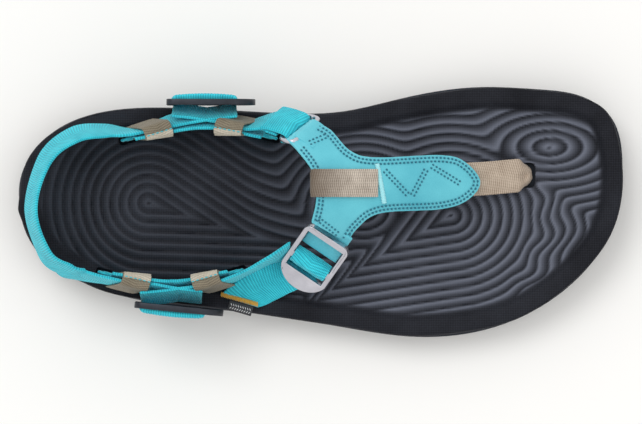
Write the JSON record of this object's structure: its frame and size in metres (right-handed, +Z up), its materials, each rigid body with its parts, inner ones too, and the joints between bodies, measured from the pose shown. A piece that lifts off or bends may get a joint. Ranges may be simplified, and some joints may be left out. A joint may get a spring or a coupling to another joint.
{
  "type": "strappy sport sandal",
  "caption": "Right-foot sport sandal: contoured sole, webbing held by folded keepers and slide buckles, a yoke over the instep and a toe post.",
  "frame": {"origin": "on the ground under the middle of the sole's box", "axes": "+X to the toe, +Y to the big-toe side (the wearer's left), +Z up"},
  "size_m": [0.2882, 0.1196, 0.065],
  "materials": {
    "outsole_rubber": "moulded, matt, slightly lighter than the footbed",
    "midsole_foam": "moulded foam, matt",
    "footbed_foam": "matt foam top sheet with contour-line relief and a fine woven grain",
    "teal_webbing": "woven polyester webbing, bright turquoise, slight sheen",
    "tan_webbing": "woven tan webbing",
    "yoke_microfibre": "smooth turquoise microfibre, soft satin",
    "yoke_lining": "black knitted lining",
    "silver_metal": "satin grey plated metal",
    "dark_metal": "dark grey coated metal, semi-gloss",
    "anchor_plastic": "moulded nylon",
    "label_cloth": "black woven label with a plain pale pattern",
    "yellow_thread": "golden yellow bar stitching"
  },
  "bodies": {
    "sole_and_anchors": {"outsole": "outsole_rubber", "midsole": "midsole_foam", "footbed": "footbed_foam", "rear_under_web": "teal_webbing", "front_under_web": "teal_webbing", "toe_anchor": "anchor_plastic", "medial_anchor_strap": "teal_webbing", "lateral_anchor_strap": "teal_webbing", "rear_medial_keeper": "tan_webbing", "front_medial_keeper": "tan_webbing", "rear_lateral_keeper": "tan_webbing", "front_lateral_keeper": "tan_webbing", "medial_rear_strap": "teal_webbing", "medial_front_strap": "teal_webbing", "lateral_rear_strap": "teal_webbing", "lateral_front_strap": "teal_webbing"},
    "heel_strap": {"heel_strap": "teal_webbing"},
    "yoke": {"yoke_upper": "yoke_microfibre", "yoke_lining": "yoke_lining", "pull_webbing": "tan_webbing", "tack_bar": "teal_webbing", "toe_post_webbing": "tan_webbing", "lateral_yoke_tab": "yoke_microfibre", "medial_yoke_tab": "yoke_microfibre"},
    "medial_ring": {"medial_yoke_ring": "silver_metal", "medial_ring_fold": "teal_webbing"},
    "lateral_buckle": {"lateral_yoke_buckle": "silver_metal", "lateral_yoke_fold": "teal_webbing"},
    "tail": {"strap_tail": "teal_webbing", "tail_label": "label_cloth", "label_tack": "yellow_thread"},
    "medial_slide": {"medial_side_buckle": "dark_metal", "medial_side_fold": "teal_webbing"},
    "lateral_slide": {"lateral_side_buckle": "dark_metal", "lateral_side_fold": "teal_webbing"}
  },
  "joints": [
    {"name": "heel_strap_swing", "type": "hinge", "parent": "sole_and_anchors", "child": "heel_strap", "pos_m": [-0.10253, 0.03851, 0.03395], "axis": [0.1582, 0.9874, -0.0051], "range_deg": [-12, 55]},
    {"name": "yoke_lift", "type": "hinge", "parent": "sole_and_anchors", "child": "yoke", "pos_m": [0.09909, 0.01749, 0.02098], "axis": [0, 1, 0], "range_deg": [0, 8]},
    {"name": "medial_ring_tilt", "type": "hinge", "parent": "yoke", "child": "medial_ring", "pos_m": [-0.00643, 0.03826, 0.05056], "axis": [0.5747, 0.5358, -0.6186], "range_deg": [0, 15]},
    {"name": "lateral_buckle_tilt", "type": "hinge", "parent": "yoke", "child": "lateral_buckle", "pos_m": [0.00357, -0.01264, 0.04829], "axis": [-0.8289, 0.5589, 0.024], "range_deg": [0, 12]},
    {"name": "tail_flap", "type": "hinge", "parent": "lateral_buckle", "child": "tail", "pos_m": [-0.01983, -0.03204, 0.02399], "axis": [-0.3477, 0.9361, 0.0535], "range_deg": [0, 35]},
    {"name": "medial_slide_tilt", "type": "hinge", "parent": "sole_and_anchors", "child": "medial_slide", "pos_m": [-0.07113, 0.05201, 0.03395], "axis": [0, 0, 1], "range_deg": [0, 15]},
    {"name": "lateral_slide_tilt", "type": "hinge", "parent": "sole_and_anchors", "child": "lateral_slide", "pos_m": [-0.08617, -0.04394, 0.03431], "axis": [0, 0, -1], "range_deg": [0, 15]}
  ]
}
